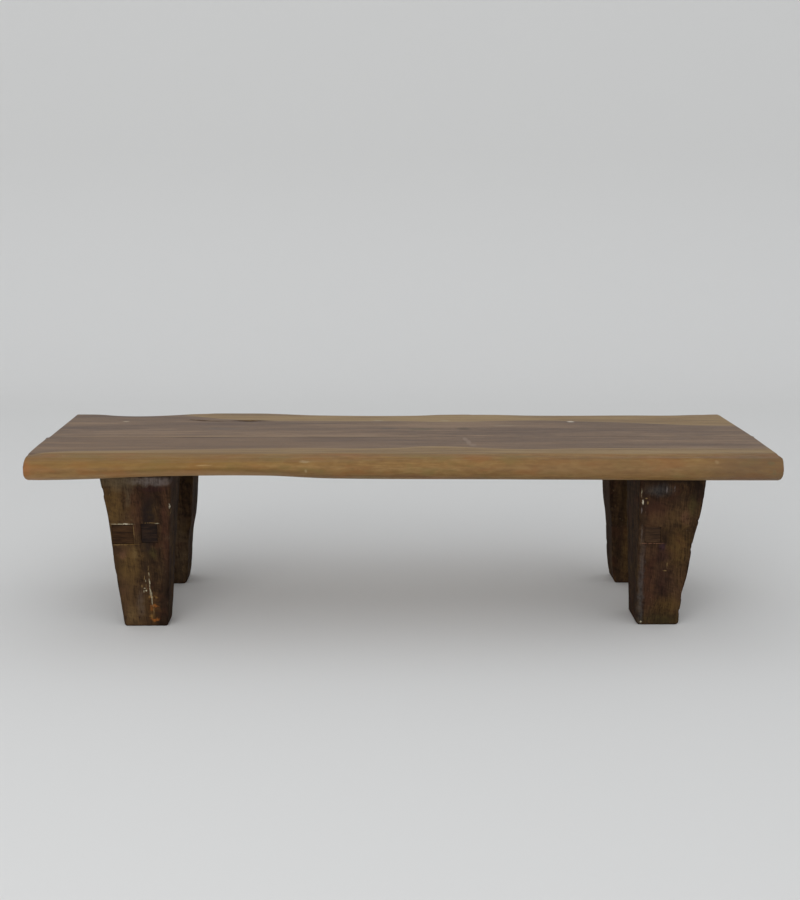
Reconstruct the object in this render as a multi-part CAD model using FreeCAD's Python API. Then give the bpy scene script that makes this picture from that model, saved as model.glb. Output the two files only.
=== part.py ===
import FreeCAD, Part
import math
import os

os.makedirs("parts", exist_ok=True)

vec = FreeCAD.Vector

# A low rustic bench. Millimetres; +X along the bench, -Y its front, +Z up.
# The origin is on the floor, under the middle of the bench.

# Overall sizes
bench_length = 1800.0
bench_depth = 586.0
seat_height = 445.0
slab_thickness = 60.0

# The slab's two boards and the glue line between them
glue_line_left_y = -47.0
glue_line_right_y = -27.0
left_end_step = 4.0
right_end_skew = 11.0
left_corner_ease = 8.0
left_corner_run = 150.0
right_corner_ease = 3.0
right_corner_run = 40.0
end_arris_radius = 4.0
planing_depth = 1.5

# How the natural edges are drawn: room left round the blank, sections along each edge,
# and points on each roll
trim_allowance = 30.0
edge_stations = 36
roll_steps = 4

# How near an edge must lie to the line it is picked by
pick_tolerance = 0.1

# Natural edges, from the left end to the right end. Each row is a place along the
# bench from -1 to 1, how far the edge lies in from the bench's widest line, how far
# its crest is below the seat, how wide the edge rolls on top, and how wide below.
front_edge = [
    (-1.00, 0, 26, 60, 76),
    (-0.88, 0, 26, 61, 80),
    (-0.78, 1, 24, 62, 98),
    (-0.68, 2, 20, 61, 130),
    (-0.52, 5, 16, 59, 145),
    (-0.35, 6, 16, 57, 140),
    (-0.24, 7, 19, 57, 97),
    (-0.14, 7, 22, 56, 82),
    (0.10, 9, 27, 50, 74),
    (0.45, 11, 29, 41, 62),
    (0.74, 13, 31, 34, 49),
    (1.00, 15, 33, 24, 46),
]
rear_edge = [
    (-1.00, 19, 26, 30, 44),
    (-0.91, 27, 27, 28, 46),
    (-0.81, 52, 28, 26, 50),
    (-0.71, 47, 28, 26, 50),
    (-0.64, 29, 27, 28, 48),
    (-0.57, 6, 25, 34, 44),
    (-0.47, 0, 24, 38, 42),
    (-0.38, 7, 25, 36, 42),
    (-0.29, 33, 27, 28, 46),
    (-0.18, 43, 28, 26, 50),
    (-0.05, 46, 28, 26, 50),
    (0.06, 39, 28, 27, 50),
    (0.16, 17, 26, 32, 44),
    (0.26, 26, 27, 28, 46),
    (0.38, 39, 28, 26, 50),
    (0.52, 41, 28, 26, 50),
    (0.68, 36, 28, 27, 50),
    (0.81, 37, 28, 27, 50),
    (0.91, 18, 26, 32, 44),
    (1.00, 4, 25, 36, 42),
]

# Dowels across the glue line
board_dowel_radius = 8.0
board_dowel_length = 120.0
board_dowel_count = 7
board_dowel_end_margin = 120.0

# Legs: where their tops stand under the slab
end_overhang = 171.0
edge_setback = 78.0
leg_arris_radius = 7.0
foot_chamfer = 4.0
leg_stations = 16

# Each leg is hewn from its own baulk. Its outline rows, from the floor up, are the
# share of the leg's height, and how far the outer side, the inner side and the face
# lie in from the lines of the leg's top.
legs = {
    "front_left": {
        "side": -1,
        "row": -1,
        "top_width": 168.0,
        "top_depth": 163.0,
        "back_slope": 86.0,
        "outline": [
            (0.00, 35, 23, 10),
            (0.15, 29, 19, 9),
            (0.30, 23, 16, 7),
            (0.42, 18, 14, 6),
            (0.60, 14, 10, 5),
            (0.76, 8, 6, 3),
            (0.88, 1, 3, 1),
            (1.00, -6, 0, 0),
        ],
    },
    "front_right": {
        "side": 1,
        "row": -1,
        "top_width": 157.0,
        "top_depth": 183.0,
        "back_slope": 68.0,
        "outline": [
            (0.00, 40, 11, 10),
            (0.12, 36, 10, 9),
            (0.25, 31, 8, 8),
            (0.34, 24, 7, 7),
            (0.46, 19, 6, 6),
            (0.57, 15, 4, 5),
            (0.65, 9, 3, 4),
            (0.72, 3, 2, 3),
            (0.80, -1, 1, 2),
            (0.90, -5, 0, 1),
            (1.00, -8, 0, 0),
        ],
    },
    "rear_left": {
        "side": -1,
        "row": 1,
        "top_width": 181.0,
        "top_depth": 130.0,
        "back_slope": 20.0,
        "outline": [
            (0.00, 39, 40, 27),
            (0.07, 37, 35, 25),
            (0.22, 33, 31, 21),
            (0.35, 27, 27, 17),
            (0.47, 21, 18, 14),
            (0.72, 11, 10, 7),
            (1.00, 0, 0, 0),
        ],
    },
    "rear_right": {
        "side": 1,
        "row": 1,
        "top_width": 178.0,
        "top_depth": 130.0,
        "back_slope": 20.0,
        "outline": [
            (0.00, 41, 37, 27),
            (0.10, 38, 30, 24),
            (0.21, 34, 26, 21),
            (0.34, 28, 23, 18),
            (0.47, 22, 19, 14),
            (0.58, 17, 12, 11),
            (0.69, 13, 9, 8),
            (1.00, 0, 0, 0),
        ],
    },
}

# Dowels between each leg and the slab
leg_dowel_radius = 12.5
leg_dowel_in_slab = 40.0
leg_dowel_in_leg = 50.0
leg_dowel_spread = 70.0

# Fit of every dowel and its hole
dowel_clearance = 0.1
dowel_end_room = 1.0
dowel_end_chamfer = 1.5

# Steel angle bracket on each leg's hidden back
bracket_width = 60.0
bracket_thickness = 4.0
bracket_leg_flange = 50.0
bracket_bend_radius = 2.0
bracket_corner_radius = 8.0
bracket_hole_spread = 36.0
bracket_hole_margin = 14.0
bracket_leg_hole = 30.0
bracket_spacing = 13.0
bracket_flat_margin = 4.0

# Countersunk wood screws through the brackets
screw_length = 25.0
screw_radius = 2.5
screw_head_radius = 4.8
screw_tip_length = 5.0
screw_tip_radius = 0.4
screw_clearance = 0.05
bracket_hole_clearance = 0.3
recess_width = 1.1
recess_reach = 4.6
recess_depth = 1.8

# Blocks let into old mortises in the legs' faces. Centres are measured in from the
# outer corner of the leg's top and up from the floor.
patch_depth = 15.0
patch_recess = 1.0
patch_gap = 0.3
patches = {
    "front_left_leg_patch": ("front_left", 44.6, 240.0, 51.0, 48.0),
    "front_left_leg_small_patch": ("front_left", 109.0, 243.0, 39.0, 48.0),
    "front_right_leg_patch": ("front_right", 118.0, 237.0, 39.0, 41.0),
}

leg_height = seat_height - slab_thickness
half_length = bench_length / 2
half_depth = bench_depth / 2
leg_outer_x = half_length - end_overhang
leg_face_y = half_depth - edge_setback


def glue_line_y(x):
    share = (x + half_length) / bench_length
    return glue_line_left_y + (glue_line_right_y - glue_line_left_y) * share


def box(low, high):
    size = high - low
    return Part.makeBox(size.x, size.y, size.z, low)


def chamfered_dowel(radius, length, start, direction):
    dowel = Part.makeCylinder(radius, length, start, direction)
    ends = [edge for edge in dowel.Edges if len(edge.Vertexes) == 1]
    return dowel.makeChamfer(dowel_end_chamfer, ends)


def dowel_hole(radius, length, start, direction):
    return Part.makeCylinder(
        radius + dowel_clearance,
        length + 2 * dowel_end_room,
        start - direction * dowel_end_room,
        direction,
    )


# Boards


def edge_section(x, outward, row):
    """Section of the tree's natural edge: an elliptical roll above and below its crest."""
    along, inset, crest_drop, top_roll, under_roll = row
    crest_y = half_depth - inset
    crest_z = seat_height - crest_drop
    rise = crest_drop + planing_depth
    fall = slab_thickness - crest_drop + planing_depth
    outline = []
    for step in range(roll_steps, -roll_steps - 1, -1):
        turn = math.radians(90.0 * step / roll_steps)
        roll = top_roll if step > 0 else under_roll
        lift = rise if step > 0 else fall
        y = crest_y - roll * (1 - math.cos(turn))
        outline.append(vec(x, outward * y, crest_z + lift * math.sin(turn)))
    curve = Part.BSplineCurve()
    curve.interpolate(outline)
    inner_y = -outward * half_depth
    top_corner = vec(x, inner_y, outline[0].z)
    bottom_corner = vec(x, inner_y, outline[-1].z)
    return Part.Wire(
        [
            curve.toShape(),
            Part.makeLine(outline[-1], bottom_corner),
            Part.makeLine(bottom_corner, top_corner),
            Part.makeLine(top_corner, outline[0]),
        ]
    )


def slope_at(rows, number, column):
    """Slope of one column of an edge at one of its rows."""
    before = rows[max(number - 1, 0)]
    after = rows[min(number + 1, len(rows) - 1)]
    return (after[column] - before[column]) / (after[0] - before[0])


def smooth_row(rows, along):
    """The edge's sizes at any place along the bench, on smooth curves through its rows."""
    number = max(n for n in range(len(rows) - 1) if rows[n][0] <= along)
    low = rows[number]
    high = rows[number + 1]
    span = high[0] - low[0]
    t = (along - low[0]) / span
    sizes = [along]
    for column in range(1, len(low)):
        leave = slope_at(rows, number, column) * span
        arrive = slope_at(rows, number + 1, column) * span
        sizes.append(
            low[column] * (2 * t**3 - 3 * t**2 + 1)
            + leave * (t**3 - 2 * t**2 + t)
            + high[column] * (3 * t**2 - 2 * t**3)
            + arrive * (t**3 - t**2)
        )
    return sizes


def natural_edge(rows, outward):
    reach = half_length + trim_allowance
    sections = []
    for number in range(edge_stations + 1):
        along = 2 * number / edge_stations - 1
        sections.append(edge_section(along * reach, outward, smooth_row(rows, along)))
    return Part.makeLoft(sections, True, False)


def ease_ends(board):
    """Rounds the top and bottom arrises of both sawn ends."""
    arrises = []
    for edge in board.Edges:
        bounds = edge.BoundBox
        at_top = bounds.ZMin > seat_height - pick_tolerance
        at_bottom = bounds.ZMax < leg_height + pick_tolerance
        across = bounds.YLength > bounds.XLength
        if across and (at_top or at_bottom):
            arrises.append(edge)
    return board.makeFillet(end_arris_radius, arrises)


def eased_corner(end_x, inward, ease, run):
    """Start, middle and outer point of the arc that eases a front corner in plan."""
    radius = (run**2 + ease**2) / (2 * ease)
    points = []
    for share in (0.0, 0.5, 1.0):
        reach = share * (run + trim_allowance)
        fall = radius - math.sqrt(radius**2 - reach**2)
        points.append(vec(end_x + inward * fall, run - half_depth - reach, leg_height))
    return points


def front_outline():
    left = eased_corner(-half_length, 1, left_corner_ease, left_corner_run)
    right = eased_corner(half_length, -1, right_corner_ease, right_corner_run)
    left_joint = vec(-half_length, glue_line_left_y, leg_height)
    right_joint = vec(half_length, glue_line_right_y, leg_height)
    return Part.Wire(
        [
            Part.makeLine(left_joint, left[0]),
            Part.Arc(*left).toShape(),
            Part.makeLine(left[-1], right[-1]),
            Part.Arc(*reversed(right)).toShape(),
            Part.makeLine(right[0], right_joint),
            Part.makeLine(right_joint, left_joint),
        ]
    )


def rear_outline():
    left_x = -half_length + left_end_step
    outer_y = half_depth + trim_allowance
    skew = right_end_skew / (half_depth - glue_line_right_y)
    corners = [
        vec(left_x, glue_line_y(left_x), leg_height),
        vec(half_length, glue_line_right_y, leg_height),
        vec(half_length - skew * (outer_y - glue_line_right_y), outer_y, leg_height),
        vec(left_x, outer_y, leg_height),
    ]
    return Part.makePolygon(corners + corners[:1])


def make_board(outline, rows, outward):
    """A planed blank trimmed by the tree's natural edge on its outward side."""
    blank = Part.Face(outline).extrude(vec(0, 0, slab_thickness))
    return ease_ends(blank.common(natural_edge(rows, outward)).Solids[0])


def board_dowel_places():
    """Start point and direction of each dowel across the glue line."""
    along = vec(bench_length, glue_line_right_y - glue_line_left_y, 0).normalize()
    across = vec(-along.y, along.x, 0)
    first = -half_length + board_dowel_end_margin
    pitch = (bench_length - 2 * board_dowel_end_margin) / (board_dowel_count - 1)
    places = []
    for number in range(board_dowel_count):
        x = first + number * pitch
        middle = vec(x, glue_line_y(x), leg_height + slab_thickness / 2)
        places.append((middle - across * board_dowel_length / 2, across))
    return places


# Legs


def leg_lines(leg, share):
    """Outer x, inner x, face y and back y of a leg's top lines, moved in at a height."""
    side = leg["side"]
    row = leg["row"]
    outer_x = side * leg_outer_x
    inner_x = side * (leg_outer_x - leg["top_width"])
    face_y = row * leg_face_y
    back_y = row * (leg_face_y - leg["top_depth"] + leg["back_slope"] * (1 - share))
    return outer_x, inner_x, face_y, back_y


def rounded_section(x_low, x_high, y_low, y_high, z):
    """A rectangle with rounded corners, drawn anticlockwise from its lower left side."""
    radius = leg_arris_radius
    diagonal = radius * (1 - math.sqrt(0.5))
    corners = [
        (x_low, y_low, 1, 1, False),
        (x_high, y_low, -1, 1, True),
        (x_high, y_high, -1, -1, False),
        (x_low, y_high, 1, -1, True),
    ]
    arcs = []
    for x, y, to_middle_x, to_middle_y, along_first in corners:
        beside = vec(x + to_middle_x * radius, y, z)
        above = vec(x, y + to_middle_y * radius, z)
        middle = vec(x + to_middle_x * diagonal, y + to_middle_y * diagonal, z)
        start, end = (beside, above) if along_first else (above, beside)
        arcs.append(Part.Arc(start, middle, end))
    edges = []
    for number, arc in enumerate(arcs):
        edges.append(arc.toShape())
        following = arcs[(number + 1) % len(arcs)]
        edges.append(Part.makeLine(arc.EndPoint, following.StartPoint))
    return Part.Wire(edges)


def hewn_block(leg):
    side = leg["side"]
    row = leg["row"]
    sections = []
    for number in range(leg_stations + 1):
        share = number / leg_stations
        outer_inset, inner_inset, face_inset = smooth_row(leg["outline"], share)[1:]
        outer_x, inner_x, face_y, back_y = leg_lines(leg, share)
        xs = sorted([outer_x - side * outer_inset, inner_x + side * inner_inset])
        ys = sorted([face_y - row * face_inset, back_y])
        sections.append(rounded_section(*xs, *ys, share * leg_height))
    block = Part.makeLoft(sections, True, False)
    foot = [edge for edge in block.Edges if edge.BoundBox.ZMax < foot_chamfer / 2]
    return block.makeChamfer(foot_chamfer, foot)


def leg_middle_x(leg):
    return leg["side"] * (leg_outer_x - leg["top_width"] / 2)


def bracket_flat_y(leg):
    """The upright flat planed on the leg's sloping back, where the bracket seats."""
    flat_height = bracket_leg_flange + bracket_flat_margin
    return leg_lines(leg, 1 - flat_height / leg_height)[3]


def slab_flange(leg):
    """Length of a bracket's flange under the slab: half the room to the bracket that
    faces it from the leg behind or in front, less the spacing between the two."""
    ends = [bracket_flat_y(other) for other in legs.values() if other["side"] == leg["side"]]
    return (max(ends) - min(ends) - bracket_spacing) / 2


def bracket_flat_cut(leg):
    """What is planed off behind the bracket's seat, up to the leg's top."""
    flat_y = bracket_flat_y(leg)
    ys = sorted([flat_y, flat_y - leg["row"] * half_depth])
    reach = leg_middle_x(leg)
    low = vec(reach - leg["top_width"], ys[0], 0)
    high = vec(reach + leg["top_width"], ys[1], leg_height + slab_thickness)
    low.z = leg_height - bracket_leg_flange - bracket_flat_margin
    return box(low, high)


def leg_dowel_places(leg):
    middle_y = leg["row"] * (leg_face_y - leg["top_depth"] / 2)
    start_z = leg_height - leg_dowel_in_leg
    places = []
    for offset in (-leg_dowel_spread / 2, leg_dowel_spread / 2):
        start = vec(leg_middle_x(leg) + offset, middle_y, start_z)
        places.append((start, vec(0, 0, 1)))
    return places


# Brackets and screws


def screw_places(leg):
    """Head centre and driving direction of a bracket's four screws: two up into the
    slab, clear of the glue line, and two into the leg."""
    away = -leg["row"]
    flat_y = bracket_flat_y(leg)
    half_spread = bracket_hole_spread / 2
    slab_z = leg_height - bracket_thickness
    leg_z = leg_height - bracket_leg_hole
    middle_x = leg_middle_x(leg)
    slab_y = flat_y + away * (slab_flange(leg) - bracket_hole_margin)
    leg_y = flat_y + away * bracket_thickness
    up = vec(0, 0, 1)
    into_leg = vec(0, -away, 0)
    return [
        (vec(middle_x - half_spread, slab_y, slab_z), up),
        (vec(middle_x + half_spread, slab_y, slab_z), up),
        (vec(middle_x - half_spread, leg_y, leg_z), into_leg),
        (vec(middle_x + half_spread, leg_y, leg_z), into_leg),
    ]


def head_height():
    return screw_head_radius - screw_radius


def make_screw(head, direction):
    """A countersunk screw with a cross recess, built upright and turned into place."""
    shank_end = screw_length - screw_tip_length
    cone = Part.makeCone(screw_head_radius, screw_radius, head_height())
    shank = Part.makeCylinder(
        screw_radius, shank_end - head_height(), vec(0, 0, head_height())
    )
    tip = Part.makeCone(
        screw_radius, screw_tip_radius, screw_tip_length, vec(0, 0, shank_end)
    )
    body = cone.fuse([shank, tip]).removeSplitter()
    for width, reach in ((recess_width, recess_reach), (recess_reach, recess_width)):
        slot = Part.makeBox(width, reach, recess_depth)
        slot.translate(vec(-width / 2, -reach / 2, 0))
        body = body.cut(slot)
    body.Placement = FreeCAD.Placement(
        head, FreeCAD.Rotation(vec(0, 0, 1), direction)
    )
    return body


def screw_hole(head, direction):
    return Part.makeCylinder(
        screw_radius + screw_clearance, screw_length + dowel_end_room, head, direction
    )


def bracket_hole(head, direction):
    """Clearance hole with a countersink for one screw."""
    grow = bracket_hole_clearance
    start = head - direction * bracket_thickness
    hole = Part.makeCylinder(screw_radius + grow, 3 * bracket_thickness, start, direction)
    sink = Part.makeCone(
        screw_head_radius + grow * 2,
        screw_radius,
        screw_head_radius + grow * 2 - screw_radius,
        head,
        direction,
    )
    return hole.fuse(sink)


def make_bracket(leg):
    away = -leg["row"]
    flat_y = bracket_flat_y(leg)
    start_x = leg_middle_x(leg) - bracket_width / 2
    thick = bracket_thickness
    reach = slab_flange(leg)
    inner = bracket_bend_radius
    outer = bracket_bend_radius + bracket_thickness
    inner_mid = thick + inner * (1 - math.sqrt(0.5))
    outer_mid = outer * (1 - math.sqrt(0.5))

    def place(out, down):
        return vec(start_x, flat_y + away * out, leg_height - down)

    edges = [
        Part.Arc(place(0, outer), place(outer_mid, outer_mid), place(outer, 0)).toShape(),
        Part.makeLine(place(outer, 0), place(reach, 0)),
        Part.makeLine(place(reach, 0), place(reach, thick)),
        Part.makeLine(place(reach, thick), place(thick + inner, thick)),
        Part.Arc(
            place(thick + inner, thick),
            place(inner_mid, inner_mid),
            place(thick, thick + inner),
        ).toShape(),
        Part.makeLine(place(thick, thick + inner), place(thick, bracket_leg_flange)),
        Part.makeLine(place(thick, bracket_leg_flange), place(0, bracket_leg_flange)),
        Part.makeLine(place(0, bracket_leg_flange), place(0, outer)),
    ]
    angle = Part.Face(Part.Wire(edges)).extrude(vec(bracket_width, 0, 0))
    corners = []
    for edge in angle.Edges:
        middle = edge.BoundBox.Center
        at_slab_tip = abs(middle.y - place(reach, 0).y) < pick_tolerance
        at_leg_tip = abs(middle.z - place(0, bracket_leg_flange).z) < pick_tolerance
        if (at_slab_tip or at_leg_tip) and edge.Length < thick + pick_tolerance:
            corners.append(edge)
    angle = angle.makeFillet(bracket_corner_radius, corners)
    holes = [bracket_hole(head, direction) for head, direction in screw_places(leg)]
    return angle.cut(holes)


# Patches


def patch_box(patch, grow, front_extra):
    """The block let into a leg's face, or its pocket when grown by the gap."""
    leg_name, inset, height, width, tall = patch
    leg = legs[leg_name]
    middle_x = leg["side"] * (leg_outer_x - inset)
    face_inset = smooth_row(leg["outline"], height / leg_height)[3]
    face_y = leg["row"] * (leg_face_y - face_inset)
    bottom_y = face_y - leg["row"] * patch_depth
    front_y = face_y - leg["row"] * (patch_recess - front_extra)
    ys = sorted([bottom_y, front_y])
    low = vec(middle_x - width / 2 - grow, ys[0], height - tall / 2 - grow)
    high = vec(middle_x + width / 2 + grow, ys[1], height + tall / 2 + grow)
    return box(low, high)


def save(name, shape):
    shape.exportStep(os.path.join("parts", name + ".step"))


# The boards, bored for their dowels, the legs' dowels and the bracket screws
slab_holes = [
    dowel_hole(board_dowel_radius, board_dowel_length, start, direction)
    for start, direction in board_dowel_places()
]
for leg in legs.values():
    for start, direction in leg_dowel_places(leg):
        length = leg_dowel_in_leg + leg_dowel_in_slab
        slab_holes.append(dowel_hole(leg_dowel_radius, length, start, direction))
    for head, direction in screw_places(leg)[:2]:
        slab_holes.append(screw_hole(head, direction))

front_board = make_board(front_outline(), front_edge, -1)
rear_board = make_board(rear_outline(), rear_edge, 1)
save("front_board", front_board.cut(slab_holes))
save("rear_board", rear_board.cut(slab_holes))

board_dowels = [
    chamfered_dowel(board_dowel_radius, board_dowel_length, start, direction)
    for start, direction in board_dowel_places()
]
save("board_joint_dowels", Part.makeCompound(board_dowels))

# The legs, each with its dowels, bracket and screws
for name, leg in legs.items():
    length = leg_dowel_in_leg + leg_dowel_in_slab
    cuts = [bracket_flat_cut(leg)]
    cuts += [
        dowel_hole(leg_dowel_radius, length, start, direction)
        for start, direction in leg_dowel_places(leg)
    ]
    cuts += [screw_hole(head, direction) for head, direction in screw_places(leg)[2:]]
    cuts += [
        patch_box(patch, patch_gap, patch_depth)
        for patch in patches.values()
        if patch[0] == name
    ]
    save(name + "_leg", hewn_block(leg).cut(cuts))

    dowels = [
        chamfered_dowel(leg_dowel_radius, length, start, direction)
        for start, direction in leg_dowel_places(leg)
    ]
    save(name + "_leg_dowels", Part.makeCompound(dowels))
    save(name + "_bracket", make_bracket(leg))

    screws = [make_screw(head, direction) for head, direction in screw_places(leg)]
    save(name + "_bracket_screws", Part.makeCompound(screws))

for name, patch in patches.items():
    save(name, patch_box(patch, 0, 0))
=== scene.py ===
import math

import bmesh
import bpy
import numpy as np
from mathutils import Matrix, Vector
from mathutils.geometry import convex_hull_2d


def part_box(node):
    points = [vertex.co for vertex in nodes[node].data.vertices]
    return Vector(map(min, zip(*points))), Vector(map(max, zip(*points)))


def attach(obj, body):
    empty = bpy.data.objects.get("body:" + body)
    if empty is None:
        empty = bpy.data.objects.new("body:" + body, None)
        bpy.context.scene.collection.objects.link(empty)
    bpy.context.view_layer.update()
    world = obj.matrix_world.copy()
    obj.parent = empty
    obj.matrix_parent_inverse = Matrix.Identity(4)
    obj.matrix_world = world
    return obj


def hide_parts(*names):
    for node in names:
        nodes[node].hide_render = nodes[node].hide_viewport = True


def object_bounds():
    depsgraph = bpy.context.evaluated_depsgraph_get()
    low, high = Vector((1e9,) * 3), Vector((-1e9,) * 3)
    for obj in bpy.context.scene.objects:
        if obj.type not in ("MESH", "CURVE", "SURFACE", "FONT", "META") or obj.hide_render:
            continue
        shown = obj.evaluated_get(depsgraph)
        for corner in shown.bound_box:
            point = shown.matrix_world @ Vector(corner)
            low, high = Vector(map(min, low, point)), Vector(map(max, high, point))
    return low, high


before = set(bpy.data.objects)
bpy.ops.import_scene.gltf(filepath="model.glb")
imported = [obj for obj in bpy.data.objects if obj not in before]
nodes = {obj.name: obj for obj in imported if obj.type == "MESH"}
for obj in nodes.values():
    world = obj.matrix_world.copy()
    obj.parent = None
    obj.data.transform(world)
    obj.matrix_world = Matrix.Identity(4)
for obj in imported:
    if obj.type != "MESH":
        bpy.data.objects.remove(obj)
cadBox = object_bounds()
print("frame loaded,", len(nodes), "nodes")

meshing = {
    "walkSteps": 3000,  # how finely a path is measured before points are set along it
    "weld": 0.00005,
}


def ease(low, high, values):  # 0 at low, 1 at high, smooth between
    t = np.clip((values - low) / (high - low), 0, 1)
    return t * t * (3 - 2 * t)


def softNoise(points, seed):  # smooth random values from -1 to 1
    cell = np.floor(points)
    part = points - cell
    part = part * part * (3 - 2 * part)
    total = np.zeros(points.shape[:-1])
    for corner in np.ndindex(2, 2, 2):
        key = (cell + corner) @ (12.9898, 78.233, 37.719) + seed * 4.137
        value = np.sin(key) * 43758.5453
        weight = np.prod(np.where(corner, part, 1 - part), axis=-1)
        total += weight * (value - np.floor(value))
    return total * 2 - 1


def layeredNoise(points, seed):  # the same in three layers, each finer and weaker
    total = 0
    for layer in range(3):
        total = total + softNoise(points * 2**layer, seed + layer * 17) / 2**layer
    return total / 1.75


def readSolid(name):
    mesh = nodes[name].data
    points = np.empty(len(mesh.vertices) * 3)
    mesh.vertices.foreach_get("co", points)
    edges = np.empty(len(mesh.edges) * 2, np.int32)
    mesh.edges.foreach_get("vertices", edges)
    points = points.reshape(-1, 3)
    return points[edges.reshape(-1, 2)]


def outlineAt(edges, axis, place):  # outer outline where a plane cuts the solid
    reach = edges[:, :, axis] - place
    cut = edges[reach[:, 0] * reach[:, 1] < 0]
    reach = reach[reach[:, 0] * reach[:, 1] < 0]
    share = reach[:, 0] / (reach[:, 0] - reach[:, 1])
    points = cut[:, 0] + (cut[:, 1] - cut[:, 0]) * share[:, None]
    flat = np.delete(points, axis, axis=1)
    return flat[convex_hull_2d(flat.tolist())]


def walk(path, count, weigh=None, closed=False):  # count points along a path, closer where it weighs more
    if closed:
        path = np.vstack([path, path[:1]])
    length = np.concatenate([[0], np.cumsum(np.linalg.norm(np.diff(path, axis=0), axis=1))])
    fine = np.linspace(0, length[-1], meshing["walkSteps"])
    points = np.stack([np.interp(fine, length, path[:, k]) for k in range(2)], axis=1)
    if weigh is None:
        worth = np.linspace(0, 1, meshing["walkSteps"])
    else:
        worth = np.cumsum(weigh(points))
        worth = (worth - worth[0]) / (worth[-1] - worth[0])
    wanted = np.linspace(0, 1, count)
    return np.stack([np.interp(wanted, worth, points[:, k]) for k in range(2)], axis=1)


def ringNormals(rings):  # outward normals of a grid of closed rings, in the order of its axes
    along = np.gradient(rings, axis=0)
    around = np.roll(rings, -1, axis=1) - np.roll(rings, 1, axis=1)
    normals = np.cross(around, along)
    normals /= np.linalg.norm(normals, axis=2, keepdims=True) + 1e-12
    middle = rings.mean(axis=1, keepdims=True)
    if ((rings - middle) * normals).sum() < 0:
        normals = -normals
    return normals


def girthOf(rings):  # how far round its ring each point lies
    return np.cumsum(np.linalg.norm(np.diff(rings, axis=1, prepend=rings[:, :1]), axis=2), axis=1)


def closeEnd(ring, steps, inset):  # rings that close an end on its middle line
    middle = ring.mean(axis=0)
    half = (ring.max(axis=0) - ring.min(axis=0)) / 2
    longAxis = int(np.argmax(half))
    keep = half[longAxis] - inset
    line = np.tile(middle, (len(ring), 1))
    line[:, longAxis] = np.clip(ring[:, longAxis], middle[longAxis] - keep, middle[longAxis] + keep)
    shares = np.linspace(0, 1, steps + 1)[1:, None, None]
    return ring + (line - ring) * shares


def closeBothEnds(rings, marks, steps, inset):  # the marks keep their end values on the new rings
    whole = [closeEnd(rings[0], steps, inset)[::-1], rings, closeEnd(rings[-1], steps, inset)]
    longer = {}
    for mark, values in marks.items():
        longer[mark] = np.pad(values, ((steps, steps), (0, 0)), "edge")
    return np.concatenate(whole), longer


def addObject(name, data):  # puts a mesh, a lamp or a camera in the scene
    made = bpy.data.objects.new(name, data)
    bpy.context.scene.collection.objects.link(made)
    return made


def skinFromRings(name, rings, marks):
    count = rings.shape[1]
    points = rings.reshape(-1, 3)
    first = np.arange(rings.shape[0] - 1)[:, None] * count + np.arange(count)
    after = np.roll(first, -1, axis=1)
    quads = np.stack([first, after, after + count, first + count], axis=-1).reshape(-1, 4)
    mesh = bpy.data.meshes.new(name)
    mesh.from_pydata(points.tolist(), [], quads.tolist())
    for mark, values in marks.items():
        attribute = mesh.attributes.new(mark, "FLOAT", "POINT")
        attribute.data.foreach_set("value", values.reshape(-1).astype(np.float32))
    work = bmesh.new()
    work.from_mesh(mesh)
    bmesh.ops.remove_doubles(work, verts=work.verts, dist=meshing["weld"])
    bmesh.ops.recalc_face_normals(work, faces=work.faces)
    work.to_mesh(mesh)
    work.free()
    mesh.shade_smooth()
    return addObject(name, mesh)


class Wire:  # a node's output, for use in plain expressions
    def __init__(self, finish, socket):
        self.finish = finish
        self.socket = socket

    def __add__(self, other):
        return self.finish.maths("ADD", self, other)

    def __sub__(self, other):
        return self.finish.maths("SUBTRACT", self, other)

    def __rsub__(self, other):
        return self.finish.maths("SUBTRACT", other, self)

    def __mul__(self, other):
        return self.finish.maths("MULTIPLY", self, other)

    def __truediv__(self, other):
        return self.finish.maths("DIVIDE", self, other)

    def __pow__(self, other):
        return self.finish.maths("POWER", self, other)

    def __abs__(self):
        return self.finish.maths("ABSOLUTE", self)

    __radd__ = __add__
    __rmul__ = __mul__


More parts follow.
